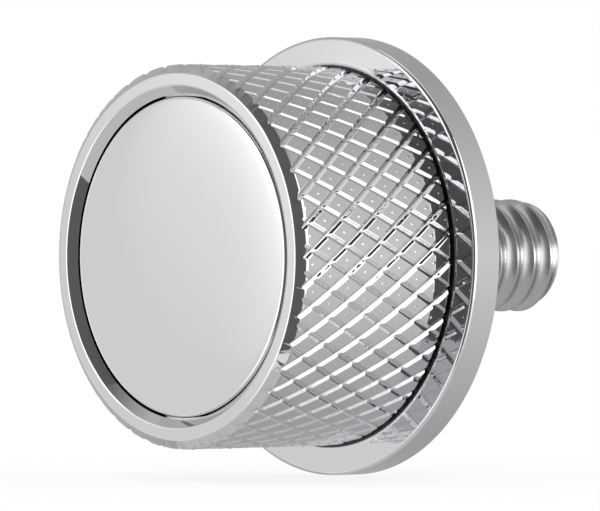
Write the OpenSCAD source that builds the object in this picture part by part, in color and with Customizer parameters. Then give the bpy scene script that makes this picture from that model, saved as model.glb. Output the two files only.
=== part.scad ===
// Seat mounting knob: a knurled head and flange turned in one piece, a plain polished disc
// let into its face, and a threaded stud fixed into its back.
// The axis lies along Y: the face looks to -Y, the flange's back is the plane y = 0, and the
// stud points to +Y. The origin is the middle of that back face. Sizes are in millimetres.

/* [Head] */
// Diameter over the knurl
head_d = 21; // [18:0.1:30]
// Length of the head in front of the flange
head_l = 11; // [8:0.1:20]
// Width of the slope between the knurl and the face
head_chamfer_w = 0.5; // [0.4:0.05:0.8]
// Length of that slope along the axis
head_chamfer_l = 0.4; // [0.2:0.05:0.8]
// Rounding between that slope and the face
head_edge_r = 0.18; // [0.05:0.01:0.25]
// Width of the relief groove between the knurl and the flange
relief_w = 0.2; // [0.1:0.05:0.5]
// How far that groove reaches below the knurl's grooves
relief_depth = 0.1; // [0.05:0.05:0.4]

/* [Flange] */
// How far the flange stands out past the knurl
flange_w = 1.65; // [1:0.05:5]
// Thickness of the flange
flange_t = 2; // [1.2:0.1:5]
// Rounding of the flange's front edge
flange_front_r = 0.2; // [0.05:0.05:0.5]
// Edge break at the flange's back
flange_back_chamfer = 0.2; // [0.05:0.05:0.5]

/* [Knurl] */
// Spacing of the grooves, measured across them
knurl_pitch = 1.29; // [1:0.01:1.6]
// Angle of the steeper grooves to the axis
steep_angle = 36.7; // [28:0.1:40]
// Width of the steeper grooves at the top
steep_w = 0.44; // [0.3:0.02:0.6]
// Depth of the steeper grooves
steep_depth = 0.14; // [0.1:0.01:0.3]
// Angle of the flatter grooves to the axis, which run the other way
flat_angle = 26.2; // [20:0.1:32]
// Width of the flatter grooves at the top
flat_w = 0.32; // [0.2:0.02:0.6]
// Depth of the flatter grooves, which end high in the walls of the steeper ones
flat_depth = 0.08; // [0.04:0.01:0.09]
// How far the middle of each land stands above its corners
land_crown = 0.015; // [0.005:0.005:0.05]

/* [Face] */
// Width of the flat rim around the face
rim_w = 0.67; // [0.4:0.01:2]
// Width of the bevel inside the rim
bevel_w = 0.45; // [0.2:0.01:1]
// Depth of that bevel
bevel_depth = 0.45; // [0.2:0.01:1]
// How far the disc lies below the rim
disc_sink = 0.3; // [0.1:0.05:0.8]
// Thickness of the disc
disc_t = 1.2; // [0.6:0.1:3]
// Rounding of the disc's front edge
disc_edge_r = 0.15; // [0.05:0.05:0.4]
// Gap between the disc and the wall of its recess
disc_gap = 0.1; // [0.03:0.01:0.3]

/* [Stud] */
// Outside diameter of the thread
stud_d = 6.35; // [4:0.05:10]
// Length of the stud behind the flange
stud_l = 13.2; // [8:0.1:30]
// Length of the bevelled tip
stud_tip_l = 0.6; // [0.3:0.1:1.5]
// Width of that bevel
stud_tip_w = 0.6; // [0.3:0.1:1]
// Diameter of the plain shank inside the head
shank_d = 5; // [3:0.1:8]
// Length of that shank
shank_l = 6; // [3:0.1:8]
// Room around the shank for the fixing compound
shank_gap = 0.03; // [0.01:0.01:0.1]
// How far the countersunk mouth of the shank's hole clears the thread
mouth_gap = 0.2; // [0.05:0.05:0.5]

/* [Hidden] */

chrome = [0.80, 0.81, 0.83];
polished = [0.86, 0.87, 0.88];
zinc = [0.66, 0.67, 0.68];
round_sides = 180;
arc_steps = 3;
overrun = 0.5;

head_r = head_d / 2;
rim_r = head_r - head_chamfer_w;
bevel_r = rim_r - rim_w;
recess_r = bevel_r - bevel_w;
disc_r = recess_r - disc_gap;
flange_r = head_r + flange_w;
front_h = flange_t + head_l;
recess_h = front_h - disc_sink - disc_t;

// Where the knurl ends, in front of the relief groove
knurl_end_h = flange_t + relief_w;
// Radius at the bottom of the relief groove
core_r = head_r - steep_depth - relief_depth;

// Whole number of grooves in each set, as near to the spacing as fits around the head
steep_starts = round(PI * head_d * cos(steep_angle) / knurl_pitch);
flat_starts = round(PI * head_d * cos(flat_angle) / knurl_pitch);
// Travel along the axis in one turn of each set of grooves
steep_lead = PI * head_d / tan(steep_angle);
flat_lead = PI * head_d / tan(flat_angle);
// Half a groove as a share of the spacing of its set
steep_edge_share = steep_w * steep_starts / (2 * PI * head_d * cos(steep_angle));
flat_edge_share = flat_w * flat_starts / (2 * PI * head_d * cos(flat_angle));
// Where a flatter groove ends in the wall of a steeper one, as a share of the steeper set's spacing
flat_end_share = steep_edge_share * (1 - flat_depth / steep_depth);
// Where the first groove of each set starts on the face, as a share of its spacing
steep_start_share = -0.12;
flat_start_share = 0.54;
// Rows of lands past each end of the knurl, as a share of a row
spare_row_share = 0.25;

// Points of an arc about a centre, from one angle to another
function arc(centre, r, from, to) =
    [for (k = [0 : arc_steps]) let (a = from + (to - from) * k / arc_steps) centre + r * [cos(a), sin(a)]];

// The knurl's lands lie on a skew lattice: u counts steeper grooves and v counts flatter ones,
// so whole numbers of u and v are the bottoms of the grooves.
function knurl_depth(u, v) =
    ((v + flat_start_share) / flat_starts - (u + steep_start_share) / steep_starts)
    / (1 / steep_lead + 1 / flat_lead);
function knurl_point(u, v, r) =
    let (depth = knurl_depth(u, v),
         turn = 360 * ((u + steep_start_share) / steep_starts + depth / steep_lead))
    [r * cos(turn), r * sin(turn), front_h - depth];

// Each column of lands follows one steeper groove, and starts a little in front of the face
row_depth = knurl_depth(0, 1) - knurl_depth(0, 0);
column_lead = flat_starts / steep_starts + spare_row_share;
rows = ceil((front_h - knurl_end_h) / row_depth + 2 * column_lead + 2);
function first_row(i) =
    i < steep_starts
    ? floor((i + steep_start_share) * flat_starts / steep_starts - flat_start_share - column_lead)
    : first_row(i - steep_starts) + flat_starts;
function row_shift(i) = first_row(i + 1) - first_row(i);
function crossing(i, m) = (i % steep_starts) * rows + m;

// A drum covered with low-crowned lands, each with sloping walls down to the grooves
module knurl_drum() {
    columns = [0 : steep_starts - 1];
    function lattice(u_share, v_share, r) =
        [for (i = columns, m = [0 : rows - 1]) knurl_point(i + u_share, first_row(i) + m + v_share, r)];
    count = steep_starts * rows;
    flat_r = head_r - flat_depth;
    corner_r = head_r - land_crown;
    points = concat(
        lattice(0, 0, head_r - steep_depth),
        lattice(flat_end_share, 0, flat_r),
        lattice(1 - flat_end_share, 0, flat_r),
        lattice(steep_edge_share, flat_edge_share, corner_r),
        lattice(1 - steep_edge_share, flat_edge_share, corner_r),
        lattice(1 - steep_edge_share, 1 - flat_edge_share, corner_r),
        lattice(steep_edge_share, 1 - flat_edge_share, corner_r),
        lattice(1 / 2, 1 / 2, head_r),
        [[0, 0, front_h + head_l], [0, 0, -head_l]]);
    front_tip = 8 * count;
    back_tip = front_tip + 1;

    // A land lies between crossings a and b, and p to q is the bottom of the flatter groove between them
    lands = [for (i = columns, m = [row_shift(i) : rows - 2])
        let (a = crossing(i, m),
             b = crossing(i + 1, m - row_shift(i)),
             p = count + a,
             q = 2 * count + a,
             top = [for (k = [3 : 6]) k * count + a],
             middle = 7 * count + a)
        each concat(
            [[p, q, top[1]], [p, top[1], top[0]]],
            [[q, b, top[1]], [b, b + 1, top[2]], [b, top[2], top[1]], [b + 1, q + 1, top[2]]],
            [[q + 1, p + 1, top[3]], [q + 1, top[3], top[2]]],
            [[p + 1, a + 1, top[3]], [a + 1, a, top[0]], [a + 1, top[0], top[3]], [a, p, top[0]]],
            [for (k = [0 : 3]) [top[k], top[(k + 1) % 4], middle]])];
    front_end = [for (i = columns)
        let (a = crossing(i, row_shift(i)), p = count + a, q = 2 * count + a, b = crossing(i + 1, 0))
        each concat(
            [for (m = [0 : 1 : row_shift(i) - 1]) [crossing(i, m + 1), crossing(i, m), front_tip]],
            [[b, q, front_tip], [q, p, front_tip], [p, a, front_tip]])];
    back_end = [for (i = columns)
        let (a = crossing(i, rows - 1), p = count + a, q = 2 * count + a, last = rows - 1 - row_shift(i),
             b = crossing(i + 1, last))
        each concat(
            [[a, p, back_tip], [p, q, back_tip], [q, b, back_tip]],
            [for (m = [last : 1 : rows - 2]) [crossing(i + 1, m), crossing(i + 1, m + 1), back_tip]])];
    polyhedron(points = points, faces = concat(lands, front_end, back_end), convexity = 4);
}

// Outer limit of the head, with the slope up to the face that trims the knurl
module head_limit() {
    slope_angle = atan2(head_chamfer_w, head_chamfer_l);
    outer_r = head_r + overrun;
    outer_h = front_h - (outer_r - rim_r) * head_chamfer_l / head_chamfer_w;
    // The rounded edge touches both the face and the slope
    edge_back = head_edge_r * tan((90 - slope_angle) / 2);
    edge_centre = [rim_r - edge_back, front_h - head_edge_r];
    rotate_extrude($fn = round_sides)
        polygon(concat(
            [[0, knurl_end_h], [outer_r, knurl_end_h], [outer_r, outer_h]],
            arc(edge_centre, head_edge_r, slope_angle, 90),
            [[0, front_h]]));
}

// Flange, with the core that joins it to the head across the relief groove
module flange() {
    core_h = knurl_end_h + overrun;
    rotate_extrude($fn = round_sides)
        polygon(concat(
            [[0, 0], [flange_r - flange_back_chamfer, 0], [flange_r, flange_back_chamfer]],
            arc([flange_r - flange_front_r, flange_t - flange_front_r], flange_front_r, 0, 90),
            [[core_r, flange_t], [core_r, core_h], [0, core_h]]));
}

// Recess in the face: a flat-bottomed seat for the disc, opened out by a bevel
module face_recess() {
    mouth_r = bevel_r + overrun * bevel_w / bevel_depth;
    rotate_extrude($fn = round_sides)
        polygon([[0, recess_h], [recess_r, recess_h], [recess_r, front_h - bevel_depth],
                 [mouth_r, front_h + overrun], [0, front_h + overrun]]);
}

// Blind hole for the stud's shank, countersunk so that the start of the thread stays clear of the seat
module shank_hole() {
    hole_r = shank_d / 2 + shank_gap;
    mouth_r = stud_d / 2 + mouth_gap;
    rotate_extrude($fn = round_sides)
        polygon([[0, -overrun], [mouth_r + overrun, -overrun], [hole_r, mouth_r - hole_r],
                 [hole_r, shank_l], [0, shank_l]]);
}

// Turns a piece modelled upright, face up, so that its face looks to -Y
module face_forward() {
    rotate([90, 0, 0]) children();
}

module knurled_knob() {
    color(chrome) face_forward()
        difference() {
            union() {
                intersection() {
                    knurl_drum();
                    head_limit();
                }
                flange();
            }
            face_recess();
            shank_hole();
        }
}

module face_disc() {
    top_h = recess_h + disc_t;
    color(polished) face_forward()
        rotate_extrude($fn = round_sides)
            polygon(concat(
                [[0, recess_h], [disc_r, recess_h]],
                arc([disc_r - disc_edge_r, top_h - disc_edge_r], disc_edge_r, 0, 90),
                [[0, top_h]]));
}

module threaded_stud() {
    stud_r = stud_d / 2;
    color(zinc) face_forward()
        rotate_extrude($fn = round_sides)
            polygon([[0, -stud_l], [stud_r - stud_tip_w, -stud_l], [stud_r, stud_tip_l - stud_l],
                     [stud_r, 0], [shank_d / 2, 0], [shank_d / 2, shank_l], [0, shank_l]]);
}

knurled_knob();
face_disc();
threaded_stud();
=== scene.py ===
import math
import bmesh
import bpy
from mathutils import Matrix, Vector


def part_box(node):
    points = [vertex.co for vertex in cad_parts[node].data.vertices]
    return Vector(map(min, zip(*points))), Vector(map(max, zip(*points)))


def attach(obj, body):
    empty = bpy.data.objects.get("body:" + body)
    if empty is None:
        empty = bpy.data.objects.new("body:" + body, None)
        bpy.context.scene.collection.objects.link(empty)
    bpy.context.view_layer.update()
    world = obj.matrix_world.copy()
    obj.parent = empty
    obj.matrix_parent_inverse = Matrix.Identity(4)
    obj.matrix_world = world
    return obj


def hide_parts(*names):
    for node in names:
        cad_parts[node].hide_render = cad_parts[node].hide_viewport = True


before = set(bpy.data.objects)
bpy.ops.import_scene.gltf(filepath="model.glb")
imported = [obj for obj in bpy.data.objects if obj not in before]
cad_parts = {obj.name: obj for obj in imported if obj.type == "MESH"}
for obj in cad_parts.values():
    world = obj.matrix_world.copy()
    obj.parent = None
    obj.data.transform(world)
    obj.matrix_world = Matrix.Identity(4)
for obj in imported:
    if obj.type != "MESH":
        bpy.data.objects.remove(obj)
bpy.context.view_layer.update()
print("frame loaded:", ", ".join(sorted(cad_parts)))

mm = 0.001           # the pieces are modelled in millimetres and scaled to metres at the end
weldGap = 0.0005     # points closer than this are one point, in mm
cutGap = 0.00005     # a cut runs through points closer than this, in mm
reliefMark = 2       # groove value at the bottom of the relief groove, where the painted shade is darkest; a land has 0, a knurl groove 1
white = (1, 1, 1, 1)
knobLow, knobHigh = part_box("knurled_knob")
discLow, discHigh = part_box("face_disc")
studLow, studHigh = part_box("threaded_stud")


def hexColor(code):
    # sRGB hex to the linear colour that the shaders take
    channels = [int(code[i:i + 2], 16) / 255 for i in (0, 2, 4)]
    return [c / 12.92 if c <= 0.04045 else ((c + 0.055) / 1.055) ** 2.4 for c in channels] + [1]


def addNode(tree, kind, inputs=None, **settings):
    node = tree.nodes.new(kind)
    for name, value in settings.items():
        setattr(node, name, value)
    for socket, value in (inputs or {}).items():
        if isinstance(value, bpy.types.NodeSocket):
            tree.links.new(value, node.inputs[socket])
        else:
            node.inputs[socket].default_value = value
    return node


def newMaterial(name):
    material = bpy.data.materials.new(name)
    material.use_nodes = True
    material.node_tree.nodes.clear()
    return material, material.node_tree


def metalSurface(tree, color, rough, height, depth):
    # a metal with a fine relief: height is its pattern, and depth its size in mm
    bump = addNode(tree, "ShaderNodeBump", {"Height": height, "Strength": 1, "Distance": depth * mm})
    shader = addNode(tree, "ShaderNodeBsdfPrincipled", {"Base Color": color, "Metallic": 1,
                                                        "Roughness": rough, "Normal": bump.outputs[0]})
    addNode(tree, "ShaderNodeOutputMaterial", {"Surface": shader.outputs[0]})


# chrome plate on a turned and knurled head: a mirror with a cool tint, faintly wavy where the plating built
# up, duller and less even down in the grooves, which no buffing wheel reaches, and at the bottom of the
# relief groove matt, where the plating hardly takes, with its colour painted dark as shade
chrome = {
    "top": "D6D7D9",
    "topRoughness": 0.035,
    "groove": "C9CACC",
    "grooveRoughness": 0.07,
    # painted shade: the dark colour of the relief groove's bottom
    "relief": "3E3E40",
    "reliefRoughness": 0.4,            # on top of the grooves' own
    "haze": 0.02,
    "hazeSize": 0.5,
    "waveSize": 1.6,
    "waveHeight": 0.0006,
    "rollSize": 0.42,                  # unevenness that the rolling left in the grooves
    "rollHeight": 0.03,
    "bumpDetail": 1,
}


def makeChrome():
    material, tree = newMaterial("bright_chrome_plate")
    place = addNode(tree, "ShaderNodeTexCoord").outputs["Object"]
    groove = addNode(tree, "ShaderNodeAttribute", attribute_name="groove").outputs["Fac"]
    # painted shade in the relief groove: its colour darkens towards the groove's bottom, where it also turns
    # matt
    deep = addNode(tree, "ShaderNodeMapRange", {"Value": groove, "From Min": 1, "From Max": reliefMark})
    relief = deep.outputs["Result"]

    plate = addNode(tree, "ShaderNodeMix", {0: groove, 6: hexColor(chrome["top"]),
                                            7: hexColor(chrome["groove"])}, data_type="RGBA")
    tone = addNode(tree, "ShaderNodeMix", {0: relief, 6: plate.outputs[2],
                                           7: hexColor(chrome["relief"])}, data_type="RGBA")

    haze = addNode(tree, "ShaderNodeTexNoise", {"Vector": place, "Scale": 1 / (chrome["hazeSize"] * mm)})
    gloss = addNode(tree, "ShaderNodeMapRange", {"Value": groove, "To Min": chrome["topRoughness"],
                                                 "To Max": chrome["grooveRoughness"]})
    matt = addNode(tree, "ShaderNodeMath", {0: relief, 1: chrome["reliefRoughness"],
                                            2: gloss.outputs["Result"]}, operation="MULTIPLY_ADD")
    rough = addNode(tree, "ShaderNodeMath", {0: haze.outputs["Fac"], 1: chrome["haze"],
                                             2: matt.outputs[0]}, operation="MULTIPLY_ADD")

    wave = addNode(tree, "ShaderNodeTexNoise", {"Vector": place, "Scale": 1 / (chrome["waveSize"] * mm),
                                                "Detail": chrome["bumpDetail"]})
    roll = addNode(tree, "ShaderNodeTexNoise", {"Vector": place, "Scale": 1 / (chrome["rollSize"] * mm),
                                                "Detail": chrome["bumpDetail"]})
    rolled = addNode(tree, "ShaderNodeMath", {0: roll.outputs["Fac"], 1: groove}, operation="MULTIPLY")
    height = addNode(tree, "ShaderNodeMath", {0: rolled.outputs[0],
                                              1: chrome["rollHeight"] / chrome["waveHeight"],
                                              2: wave.outputs["Fac"]}, operation="MULTIPLY_ADD")
    metalSurface(tree, tone.outputs[2], rough.outputs[0], height.outputs[0], chrome["waveHeight"])
    return material


# mirror-polished steel disc: a clean flat mirror with the faintest rings from the buffing wheel, drawn
# coarser than the wheel leaves them, because the real ones are too fine to show
polish = {
    "color": "D8D9DA",
    "roughness": 0.03,
    "haze": 0.03,
    "hazeSize": 3.0,
    "ringSize": 0.25,
    "ringHeight": 0.00004,
    "ringDetail": 4,
}


def makePolish():
    material, tree = newMaterial("mirror_polished_steel")
    place = addNode(tree, "ShaderNodeTexCoord").outputs["Object"]
    haze = addNode(tree, "ShaderNodeTexNoise", {"Vector": place, "Scale": 1 / (polish["hazeSize"] * mm)})
    rough = addNode(tree, "ShaderNodeMath", {0: haze.outputs["Fac"], 1: polish["haze"],
                                             2: polish["roughness"]}, operation="MULTIPLY_ADD")
    flat = addNode(tree, "ShaderNodeVectorMath", {0: place, 1: (1, 0, 1)}, operation="MULTIPLY")
    radius = addNode(tree, "ShaderNodeVectorMath", {0: flat.outputs["Vector"]}, operation="LENGTH")
    rings = addNode(tree, "ShaderNodeTexNoise", {"W": radius.outputs["Value"], "Detail": polish["ringDetail"],
                                                 "Scale": 1 / (polish["ringSize"] * mm)},
                    noise_dimensions="1D")
    metalSurface(tree, hexColor(polish["color"]), rough.outputs[0], rings.outputs["Fac"],
                 polish["ringHeight"])
    return material


# zinc-plated rolled steel: a soft grey sheen, mottled by the zinc's crystals, which are drawn coarser
# than they are, because the real ones are too fine to show
zinc = {
    "light": "C6C7C8",
    "dark": "A9AAAC",
    "roughness": 0.25,
    "haze": 0.1,
    "grainSize": 0.12,
    "grainHeight": 0.001,
    "grainDetail": 4,
}


def makeZinc():
    material, tree = newMaterial("satin_zinc_plate")
    place = addNode(tree, "ShaderNodeTexCoord").outputs["Object"]
    grain = addNode(tree, "ShaderNodeTexNoise", {"Vector": place, "Scale": 1 / (zinc["grainSize"] * mm),
                                                 "Detail": zinc["grainDetail"]}).outputs["Fac"]
    tone = addNode(tree, "ShaderNodeMix", {0: grain, 6: hexColor(zinc["dark"]), 7: hexColor(zinc["light"])},
                   data_type="RGBA")
    rough = addNode(tree, "ShaderNodeMath", {0: grain, 1: zinc["haze"], 2: zinc["roughness"]},
                    operation="MULTIPLY_ADD")
    metalSurface(tree, tone.outputs[2], rough.outputs[0], grain, zinc["grainHeight"])
    return material


def arcPoints(centre, radius, start, end, steps=4):
    # points on an arc of an outline, angles in degrees
    angles = [math.radians(start + (end - start) * i / steps) for i in range(steps + 1)]
    return [(centre[0] + radius * math.cos(a), centre[1] + radius * math.sin(a)) for a in angles]


def lathe(bm, outline, steps):
    # spins an outline of (radius, height) points about the axis; height runs from the seat to the face
    turned = bmesh.new()
    verts = [turned.verts.new((-radius, -height, 0)) for radius, height in outline]
    edges = [turned.edges.new(pair) for pair in zip(verts, verts[1:])]
    bmesh.ops.spin(turned, geom=verts + edges, cent=(0, 0, 0), axis=(0, 1, 0), angle=2 * math.pi,
                   steps=steps, use_merge=True)
    mesh = bpy.data.meshes.new("turned")
    turned.to_mesh(mesh)
    turned.free()
    bm.from_mesh(mesh)
    bpy.data.meshes.remove(mesh)


def rollUp(bm, radius, start):
    # rolls a flat sheet round the axis: its x runs round, y back along the axis and z outwards
    for vert in bm.verts:
        turn = vert.co.x / radius
        reach = radius + vert.co.z
        vert.co = (reach * math.cos(turn), start + vert.co.y, reach * math.sin(turn))


def cutPlane(bm, point, direction, trim=True):
    # cuts along a plane, and with trim clears what lies past it
    bmesh.ops.bisect_plane(bm, geom=bm.verts[:] + bm.edges[:] + bm.faces[:], dist=cutGap,
                           plane_co=point, plane_no=Vector(direction).normalized(), clear_outer=trim)


def bridgeRims(bm, onThisSide):
    # joins the two open rims on one side of the piece's middle
    rims = [edge for edge in bm.edges if edge.is_boundary and onThisSide(edge.verts[0].co.y)]
    bmesh.ops.bridge_loops(bm, edges=rims)


def addObject(bm, name, material):
    # ends the modelling: a mesh in mm becomes an object in metres
    bmesh.ops.scale(bm, vec=(mm, mm, mm), verts=bm.verts)
    mesh = bpy.data.meshes.new(name)
    bm.to_mesh(mesh)
    bm.free()
    mesh.materials.append(material)
    thing = bpy.data.objects.new(name, mesh)
    bpy.context.scene.collection.objects.link(thing)
    return thing


def finishPiece(bm, name, node, material, sharpAngle):
    bmesh.ops.remove_doubles(bm, verts=bm.verts, dist=weldGap)
    bmesh.ops.recalc_face_normals(bm, faces=bm.faces)
    for face in bm.faces:
        face.smooth = True
    for edge in bm.edges:
        edge.smooth = edge.smooth and edge.calc_face_angle(0) < math.radians(sharpAngle)
    openEdges = sum(not edge.is_manifold for edge in bm.edges)
    piece = addObject(bm, name, material)
    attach(piece, "root")
    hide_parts(node)
    print(name, "made:", len(piece.data.polygons), "faces,", openEdges, "open edges")


# knurled head and flange, turned in one piece
knob = {
    "front": -knobLow.y / mm,          # from the seat to the rim
    "flangeRadius": knobHigh.x / mm,
    "flangeThick": 2.0,
    "flangeFrontRound": 0.2,
    "flangeBackBreak": 0.2,
    "headRadius": 10.5,
    "reliefWidth": 0.2,                # relief groove between the knurl and the flange
    "reliefDepth": 0.1,                # below the knurl's grooves
    "hollowRadius": 10.9,              # where the hollow side of that groove meets the flange
    "hollowLength": 0.16,
    "hollowSteps": 6,
    "paintedShadeRadius": 10.6,                # as far out as the groove's painted shade reaches
    "slopeWidth": 0.5,                 # slope between the knurl and the rim
    "slopeLength": 0.4,
    "slopeRound": 0.18,
    "rimWidth": 0.67,
    "rimRound": 0.16,                  # inner edge of the rim
    "bevelWidth": 0.45,                # as deep as it is wide
    "recessDepth": 1.5,
    "holeRadius": 2.53,                # blind hole for the stud
    "holeDepth": 6.0,
    "mouthRadius": 3.375,
    "support": 0.03,                   # narrow band that keeps a flat flat beside a round
    "steps": 240,
    "sharpAngle": 32,
}

knurl = {
    "pitch": 1.29,                     # groove spacing, measured across the grooves
    "steepAngle": 36.7,
    "steepWidth": 0.44,
    "steepDepth": 0.152,
    "steepStart": -0.12,               # where the first groove meets the face, as a share of the spacing
    "flatAngle": 26.2,
    "flatWidth": 0.4,
    "flatDepth": 0.09,
    "flatStart": 0.54,
    # section of a groove: half widths from its middle, and the share of its depth there
    "section": [(0, 1), (0.2, 0.95), (0.34, 0.79), (0.7, 0.285), (0.88, 0.06), (1.04, 0), (1.18, 0)],
    "meeting": 4,                      # how crisply the two sets of grooves meet
    # small pip that the rolling leaves in the middle of each land: radius and rise of its rings
    "pip": [(0.16, 0), (0.12, 0), (0.05, 0.028)],
    "frontRun": 0.2,                   # length over which the lands round off towards the face
    "frontFall": 0.02,
    "backRun": 0.16,                   # and towards the relief groove
    "backFall": 0.04,
    "endCuts": 3,
    "spareCells": 2,                   # past the ends of the head, before it is trimmed
}


def raisePips(bm, lands):
    for radius, rise in knurl["pip"]:
        bmesh.ops.inset_individual(bm, faces=lands, thickness=knurl["pip"][-1][0], use_even_offset=True)
        for land in lands:
            middle = land.calc_center_median()
            for vert in land.verts:
                vert.co = middle + (vert.co - middle).normalized() * radius
                vert.co.z = rise


def roundLandEnds(bm, frontEnd, backEnd):
    for i in range(knurl["endCuts"] + 1):
        share = i / knurl["endCuts"]
        cutPlane(bm, (0, frontEnd - knurl["frontRun"] * share, 0), (0, 1, 0), trim=False)
        cutPlane(bm, (0, backEnd + knurl["backRun"] * share, 0), (0, 1, 0), trim=False)
    for vert in bm.verts:
        frontPast = min(1, max(0, frontEnd - vert.co.y) / knurl["frontRun"])
        backPast = min(1, max(0, vert.co.y - backEnd) / knurl["backRun"])
        fall = knurl["frontFall"] * frontPast ** 2 + knurl["backFall"] * backPast ** 2
        if fall:
            vert.co.z = min(vert.co.z, -fall)


def knurlSheet(bm, headLength):
    # the knurl is shaped flat, as if unrolled; its grooves stand on whole numbers of a skew lattice
    girth = 2 * math.pi * knob["headRadius"]
    steep = math.radians(knurl["steepAngle"])
    flat = math.radians(knurl["flatAngle"])
    steepCount = round(girth * math.cos(steep) / knurl["pitch"])
    flatCount = round(girth * math.cos(flat) / knurl["pitch"])
    steepLead = girth / math.tan(steep)
    flatLead = girth / math.tan(flat)
    # half a groove as a share of its spacing
    steepHalf = knurl["steepWidth"] * steepCount / (2 * girth * math.cos(steep))
    flatHalf = knurl["flatWidth"] * flatCount / (2 * girth * math.cos(flat))

    # lattice to unrolled surface: back from the face, and round the head in turns
    perLead = 1 / steepLead + 1 / flatLead
    backU = -1 / (steepCount * perLead)
    backV = 1 / (flatCount * perLead)
    backStart = (knurl["flatStart"] / flatCount - knurl["steepStart"] / steepCount) / perLead
    turnU = 1 / steepCount + backU / steepLead
    turnV = backV / steepLead
    turnStart = knurl["steepStart"] / steepCount + backStart / steepLead
    unroll = Matrix(((turnU * girth, turnV * girth, 0, turnStart * girth),
                     (backU, backV, 0, backStart), (0, 0, 1, 0), (0, 0, 0, 1)))

    columns = 2 * math.ceil(steepCount * (0.5 + headLength / steepLead) + knurl["spareCells"])
    rows = 2 * math.ceil(flatCount * (0.5 + headLength / flatLead) + knurl["spareCells"])
    bmesh.ops.create_grid(bm, x_segments=columns, y_segments=rows, size=0.5,
                          matrix=Matrix.Diagonal((columns, rows, 1, 1)))
    spare = knurl["pitch"]
    outside = []
    for face in bm.faces:
        spot = unroll @ face.calc_center_median()
        if abs(spot.x) > girth / 2 + spare or not -spare < spot.y < headLength + spare:
            outside.append(face)
    bmesh.ops.delete(bm, geom=outside, context="FACES")

    # each cell gets the lines of the grooves' section, with the land as its largest face
    section = knurl["section"]
    lines = 2 * len(section) - 1
    bmesh.ops.subdivide_edges(bm, edges=bm.edges[:], cuts=lines - 1, use_grid_fill=True)
    groove = bm.verts.layers.float.new("groove")
    for vert in bm.verts:
        cuts = []
        for axis, half, depth in ((0, steepHalf, knurl["steepDepth"]), (1, flatHalf, knurl["flatDepth"])):
            middle = round(vert.co[axis])
            line = round((vert.co[axis] - middle) * lines)
            reach, share = section[abs(line)]
            vert.co[axis] = middle + math.copysign(reach * half, line)
            cuts.append(depth * share)
        depth = sum(cut ** knurl["meeting"] for cut in cuts) ** (1 / knurl["meeting"])
        vert.co.z = -depth
        vert[groove] = min(1, depth / knurl["steepDepth"])
    lands = [face for face in bm.faces
             if all(abs(spot % 1 - 0.5) < flatHalf / 4 for spot in face.calc_center_median().xy)]

    bmesh.ops.transform(bm, matrix=unroll, verts=bm.verts)
    raisePips(bm, lands)
    cutPlane(bm, (girth / 2, 0, 0), (1, 0, 0))
    cutPlane(bm, (-girth / 2, 0, 0), (-1, 0, 0))
    frontEnd = knob["slopeLength"] + knurl["frontRun"]
    knurlEnd = headLength - knob["reliefWidth"]
    roundLandEnds(bm, frontEnd, knurlEnd - knurl["backRun"])
    cutPlane(bm, (0, 0, -knob["slopeWidth"]), (0, -knob["slopeWidth"], knob["slopeLength"]))
    for edge in bm.edges:
        spot = edge.verts[0].co
        if edge.is_boundary and spot.y < frontEnd and abs(spot.x) < girth / 2 - weldGap:
            edge.smooth = False
    cutPlane(bm, (0, knurlEnd, 0), (0, 1, 0))
    rollUp(bm, knob["headRadius"], -knob["front"])
    bmesh.ops.remove_doubles(bm, verts=bm.verts, dist=weldGap)


def faceOutline():
    # in from the slope, across the rim, and down the bevel to the floor of the recess
    front = knob["front"]
    support = knob["support"]
    rimRadius = knob["headRadius"] - knob["slopeWidth"]
    slopeAngle = math.degrees(math.atan2(knob["slopeWidth"], knob["slopeLength"]))
    rimOuter = rimRadius - knob["slopeRound"] * math.tan(math.radians(90 - slopeAngle) / 2)
    bevelRadius = rimRadius - knob["rimWidth"]
    rimInner = bevelRadius + knob["rimRound"] * math.tan(math.radians(45) / 2)
    recessRadius = bevelRadius - knob["bevelWidth"]
    outline = arcPoints((rimOuter, front - knob["slopeRound"]), knob["slopeRound"], slopeAngle, 90)
    outline += [(rimOuter - support, front), (rimInner + support, front)]
    outline += arcPoints((rimInner, front - knob["rimRound"]), knob["rimRound"], 90, 135)
    outline += [(recessRadius + support, front - knob["bevelWidth"] + support),
                (recessRadius, front - knob["bevelWidth"]),
                (recessRadius, front - knob["recessDepth"]), (0, front - knob["recessDepth"])]
    return outline


def flangeOutline(coreRadius):
    # out from the relief groove, over the flange, and along its back into the stud's hole
    thick = knob["flangeThick"]
    radius = knob["flangeRadius"]
    edgeRound = knob["flangeFrontRound"]
    hollow = knob["hollowRadius"] - coreRadius
    outline = [(coreRadius, thick + knob["reliefWidth"])]
    outline += [(knob["hollowRadius"] + hollow * x, thick + knob["hollowLength"] * y)
                for x, y in arcPoints((0, 1), 1, 180, 270, knob["hollowSteps"])]
    outline += [(radius - edgeRound - knob["support"], thick)]
    outline += arcPoints((radius - edgeRound, thick - edgeRound), edgeRound, 90, 0)
    outline += [(radius, thick - edgeRound - knob["support"]), (radius, knob["flangeBackBreak"]),
                (radius - knob["flangeBackBreak"], 0), (knob["mouthRadius"], 0),
                (knob["holeRadius"], knob["mouthRadius"] - knob["holeRadius"]),
                (knob["holeRadius"], knob["holeDepth"]), (0, knob["holeDepth"])]
    return outline


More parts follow.
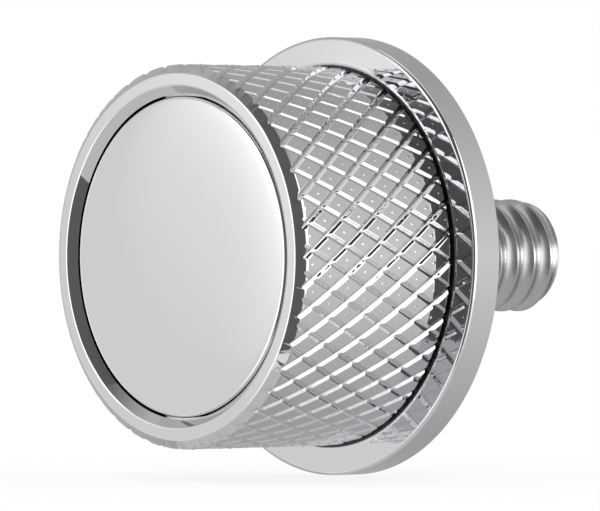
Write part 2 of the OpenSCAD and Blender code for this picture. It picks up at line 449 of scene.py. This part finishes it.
def makeKnob():
    bm = bmesh.new()
    front = knob["front"]
    thick = knob["flangeThick"]
    coreRadius = knob["headRadius"] - knurl["steepDepth"] - knob["reliefDepth"]
    knurlSheet(bm, front - thick)
    lathe(bm, faceOutline(), knob["steps"])
    lathe(bm, flangeOutline(coreRadius), knob["steps"])

    groove = bm.verts.layers.float["groove"]
    hollowStart = -thick - knob["hollowLength"] - weldGap
    # the relief groove and its hollow are marked out to where their painted shade ends
    for vert in bm.verts:
        if vert.co.y > hollowStart and coreRadius - weldGap < vert.co.xz.length < knob["paintedShadeRadius"]:
            vert[groove] = reliefMark
    bmesh.ops.remove_doubles(bm, verts=bm.verts, dist=weldGap)

    middle = -(front + thick) / 2
    bridgeRims(bm, lambda y: y < middle)
    bridgeRims(bm, lambda y: y > middle)
    finishPiece(bm, "knob_body", "knurled_knob", makeChrome(), knob["sharpAngle"])


# plain disc let into the face
disc = {
    "radius": discHigh.x / mm,
    "top": -discLow.y / mm,
    "bottom": -discHigh.y / mm,
    "edgeRound": 0.22,
    "edgeSteps": 6,
    "crown": 0.09,                     # how far the face falls towards the edge, most of it near the edge
    "crownPower": 6,
    "crownRings": 16,
    "steps": 240,
    "sharpAngle": 32,
}


def makeDisc():
    bm = bmesh.new()
    edgeRound = disc["edgeRound"]
    rounded = disc["radius"] - edgeRound
    outline = []
    for i in range(disc["crownRings"]):
        share = i / disc["crownRings"]
        outline.append((rounded * share, disc["top"] - disc["crown"] * share ** disc["crownPower"]))
    outline += arcPoints((rounded, disc["top"] - disc["crown"] - edgeRound), edgeRound, 90, 0,
                         disc["edgeSteps"])
    outline += [(disc["radius"], disc["bottom"]), (0, disc["bottom"])]
    lathe(bm, outline, disc["steps"])
    finishPiece(bm, "polished_disc", "face_disc", makePolish(), disc["sharpAngle"])


# threaded stud
stud = {
    "radius": studHigh.x / mm,
    "length": studHigh.y / mm,
    "shankRadius": 2.5,
    "shankLength": -studLow.y / mm,
    "shoulder": 0.05,                  # length of the slope from the thread down to the shank
    "tip": 0.6,                        # width and length of the bevel at the tip
    "pitch": 1.27,
    "threadDepth": 0.33,
    "crestShare": 0.1,                 # flat top of the thread, as a share of the pitch
    "threadStart": -0.06,              # where the thread starts, as a share of the pitch
    "spareTurns": 2,                   # past the tip, before it is trimmed
    "rootSteps": 8,
    "aroundSteps": 96,
    "sharpAngle": 40,
}


def threadSheet(bm):
    # the thread is shaped flat too: one straight section, drawn along the slope of the helix
    girth = 2 * math.pi * stud["radius"]
    pitch = stud["pitch"]
    crest = stud["crestShare"]
    # one turn of the section: a flat crest, and a round-bottomed valley
    section = [(0, 0)]
    for i in range(stud["rootSteps"]):
        share = i / stud["rootSteps"]
        section.append((crest + (1 - crest) * share, -stud["threadDepth"] * math.sin(math.pi * share)))
    turns = math.ceil(stud["length"] / pitch) + stud["spareTurns"]
    outline = [bm.verts.new((-girth / 2, (turn + along + stud["threadStart"]) * pitch, height))
               for turn in range(-1, turns + 1) for along, height in section]
    edges = [bm.edges.new(pair) for pair in zip(outline, outline[1:])]
    step = Vector((girth, -pitch, 0)) / stud["aroundSteps"]    # a right-hand thread
    for i in range(stud["aroundSteps"]):
        grown = bmesh.ops.extrude_edge_only(bm, edges=edges)["geom"]
        bmesh.ops.translate(bm, vec=step, verts=[g for g in grown if isinstance(g, bmesh.types.BMVert)])
        edges = [g for g in grown if isinstance(g, bmesh.types.BMEdge) and g.is_boundary]
        edges = [edge for edge in edges if abs(edge.verts[0].co.x - edge.verts[1].co.x) < weldGap]
    cutPlane(bm, (0, 0, 0), (0, -1, 0))
    cutPlane(bm, (0, stud["length"], -stud["tip"]), (0, 1, 1))
    rollUp(bm, stud["radius"], 0)
    bmesh.ops.remove_doubles(bm, verts=bm.verts, dist=weldGap)


def makeStud():
    bm = bmesh.new()
    length = stud["length"]
    shankRadius = stud["shankRadius"]
    shankLength = stud["shankLength"]
    threadSheet(bm)
    lathe(bm, [(stud["radius"] - stud["tip"], -length), (0, -length)], stud["aroundSteps"])
    lathe(bm, [(shankRadius, stud["shoulder"]), (shankRadius, shankLength), (0, shankLength)],
          stud["aroundSteps"])
    bmesh.ops.remove_doubles(bm, verts=bm.verts, dist=weldGap)
    bridgeRims(bm, lambda y: y < length / 2)
    bridgeRims(bm, lambda y: y > length / 2)
    finishPiece(bm, "stud_thread", "threaded_stud", makeZinc(), stud["sharpAngle"])


# camera, on the photo's line of sight; angles in degrees, lengths in mm
shot = {
    "azimuth": 49.04,
    "elevation": 0.295,
    "distance": 388.5,
    "target": (2.138, -5.828, 0.058),
    "lens": 424.8,
    "sensor": 36,
    "clipStart": 10,
}


def lookFrom(azimuth, elevation):
    # direction towards a place round the knob: azimuth 0 is in front of the face
    az = math.radians(azimuth)
    el = math.radians(elevation)
    return Vector((math.sin(az) * math.cos(el), -math.cos(az) * math.cos(el), math.sin(el)))


def makeCamera():
    data = bpy.data.cameras.new("camera")
    data.lens = shot["lens"]
    data.sensor_width = shot["sensor"]
    data.clip_start = shot["clipStart"] * mm
    camera = bpy.data.objects.new("camera", data)
    bpy.context.scene.collection.objects.link(camera)
    back = lookFrom(shot["azimuth"], shot["elevation"])
    camera.location = (Vector(shot["target"]) + back * shot["distance"]) * mm
    camera.rotation_euler = back.to_track_quat("Z", "Y").to_euler()
    bpy.context.scene.camera = camera
    print("camera set")


# studio: white all round, with cards that the metal reflects and the camera doesn't see
# each card faces the knob from its azimuth and elevation; distance, width and height are in mm,
# and glow is its brightness; on some cards that is the brightness at a spot, measured round and up
# from the card's middle, and it changes to the one given as past over the spot's reach
cards = {
    "dark_front_card": {"azimuth": 34, "elevation": 7, "distance": 290, "width": 322, "height": 540,
                        "glow": 0.14},
    "dark_top_card": {"azimuth": 33, "elevation": 57, "distance": 310, "width": 520, "height": 358,
                      "glow": 0.03, "past": 0.14, "spot": (260, 100), "reach": 400},
    "grey_top_card": {"azimuth": -40, "elevation": 54, "distance": 320, "width": 230, "height": 190,
                      "glow": 0.14, "past": 0.6, "spot": (110, 0), "reach": 190},
    "bright_front_card": {"azimuth": -21, "elevation": 10, "distance": 300, "width": 155, "height": 340,
                          "glow": 1.9},
    "face_card": {"azimuth": -49, "elevation": 4, "distance": 250, "width": 120, "height": 240,
                  "glow": 1.75, "past": 0.88, "spot": (57, 20), "reach": 70},
    "bright_side_card": {"azimuth": 96.5, "elevation": 18, "distance": 325, "width": 310, "height": 500,
                         "glow": 2},
    "lower_side_card": {"azimuth": 96.5, "elevation": -33, "distance": 325, "width": 400, "height": 160,
                        "glow": 1.6, "past": 0.7, "spot": (0, 80), "reach": 180},
    "grey_left_card": {"azimuth": -92, "elevation": 12, "distance": 320, "width": 432, "height": 840,
                       "glow": 0.6, "past": 0.5, "spot": (0, 0), "reach": 400},
    "grey_back_card": {"azimuth": 180, "elevation": 0, "distance": 150, "width": 460, "height": 640,
                       "glow": 0.84, "past": 0.46, "spot": (-172, 0), "reach": 280},
    "dark_back_card": {"azimuth": 180, "elevation": 0, "distance": 140, "width": 180, "height": 180,
                       "glow": 0.06, "past": 0.5, "spot": (0, -60), "reach": 120},
    "bright_back_card": {"azimuth": 173, "elevation": 1, "distance": 130, "width": 120, "height": 32,
                         "glow": 1.1},
    "stud_card": {"azimuth": 159, "elevation": 0, "distance": 27, "width": 16, "height": 6, "glow": 4},
    "stud_shade": {"azimuth": 142, "elevation": 20, "distance": 15.5, "width": 10, "height": 6.5,
                   "glow": 0.16, "past": 0.5, "spot": (0, 0), "reach": 6},
    "grey_floor_card": {"azimuth": 0, "elevation": -90, "distance": 400, "width": 1000, "height": 1000,
                        "glow": 0.68},
}
stage = {
    "floorSize": 4000,
    "floorDrop": 0.1,
    "floorColor": "F4F4F4",
    "whiteShare": 0.85,                # how much of the floor's look is plain white
    "worldFill": 1.1,                  # light that the studio gives the floor
}


def makeCard(name, card):
    bm = bmesh.new()
    towards = lookFrom(card["azimuth"], card["elevation"])
    facing = towards.to_track_quat("Z", "Y").to_matrix().to_4x4()
    place = Matrix.Translation(towards * card["distance"]) @ facing
    bmesh.ops.create_grid(bm, x_segments=1, y_segments=1, size=0.5,
                          matrix=place @ Matrix.Diagonal((card["width"], card["height"], 1, 1)))
    material, tree = newMaterial(name)
    glow = card["glow"]
    if "spot" in card:
        spot = place @ Vector((*card["spot"], 0)) * mm
        where = addNode(tree, "ShaderNodeTexCoord").outputs["Object"]
        away = addNode(tree, "ShaderNodeVectorMath", {0: where, 1: spot}, operation="DISTANCE")
        fade = addNode(tree, "ShaderNodeMapRange", {"Value": away.outputs["Value"],
                                                    "From Max": card["reach"] * mm,
                                                    "To Min": card["glow"], "To Max": card["past"]})
        glow = fade.outputs["Result"]
    shine = addNode(tree, "ShaderNodeEmission", {"Color": white, "Strength": glow})
    addNode(tree, "ShaderNodeOutputMaterial", {"Surface": shine.outputs[0]})
    board = addObject(bm, name, material)
    board.visible_camera = False
    board.visible_diffuse = False
    board.visible_shadow = False


def seenPlainly(tree):
    # 1 where a ray comes from the camera, or by way of metal or glass
    path = addNode(tree, "ShaderNodeLightPath").outputs
    metal = addNode(tree, "ShaderNodeMath", {0: path["Is Camera Ray"], 1: path["Is Glossy Ray"]},
                    operation="MAXIMUM")
    glass = addNode(tree, "ShaderNodeMath", {0: metal.outputs[0], 1: path["Is Transmission Ray"]},
                    operation="MAXIMUM")
    return glass.outputs[0]


def makeFloor():
    bm = bmesh.new()
    drop = knobLow.z / mm - stage["floorDrop"]
    bmesh.ops.create_grid(bm, x_segments=1, y_segments=1, size=stage["floorSize"] / 2,
                          matrix=Matrix.Translation((0, 0, drop)))
    material, tree = newMaterial("white_paper")
    paper = addNode(tree, "ShaderNodeBsdfDiffuse", {"Color": hexColor(stage["floorColor"])})
    shine = addNode(tree, "ShaderNodeEmission", {"Color": white, "Strength": 1})
    share = addNode(tree, "ShaderNodeMath", {0: seenPlainly(tree), 1: stage["whiteShare"]},
                    operation="MULTIPLY")
    blend = addNode(tree, "ShaderNodeMixShader", {0: share.outputs[0], 1: paper.outputs[0],
                                                  2: shine.outputs[0]})
    addNode(tree, "ShaderNodeOutputMaterial", {"Surface": blend.outputs[0]})
    floor = addObject(bm, "floor", material)
    floor.visible_glossy = False       # the metal sees the white studio below it, as bright as the floor


def makeStage():
    for name, card in cards.items():
        makeCard(name, card)
    makeFloor()
    world = bpy.data.worlds.new("white_studio")
    world.use_nodes = True
    tree = world.node_tree
    tree.nodes.clear()
    level = addNode(tree, "ShaderNodeMapRange", {"Value": seenPlainly(tree), "To Min": stage["worldFill"],
                                                 "To Max": 1})
    air = addNode(tree, "ShaderNodeBackground", {"Color": white, "Strength": level.outputs["Result"]})
    addNode(tree, "ShaderNodeOutputWorld", {"Surface": air.outputs[0]})
    bpy.context.scene.world = world
    bpy.context.scene.view_settings.view_transform = "Standard"
    print("stage set:", len(cards), "cards and a floor")


makeKnob()
makeDisc()
makeStud()
makeCamera()
makeStage()
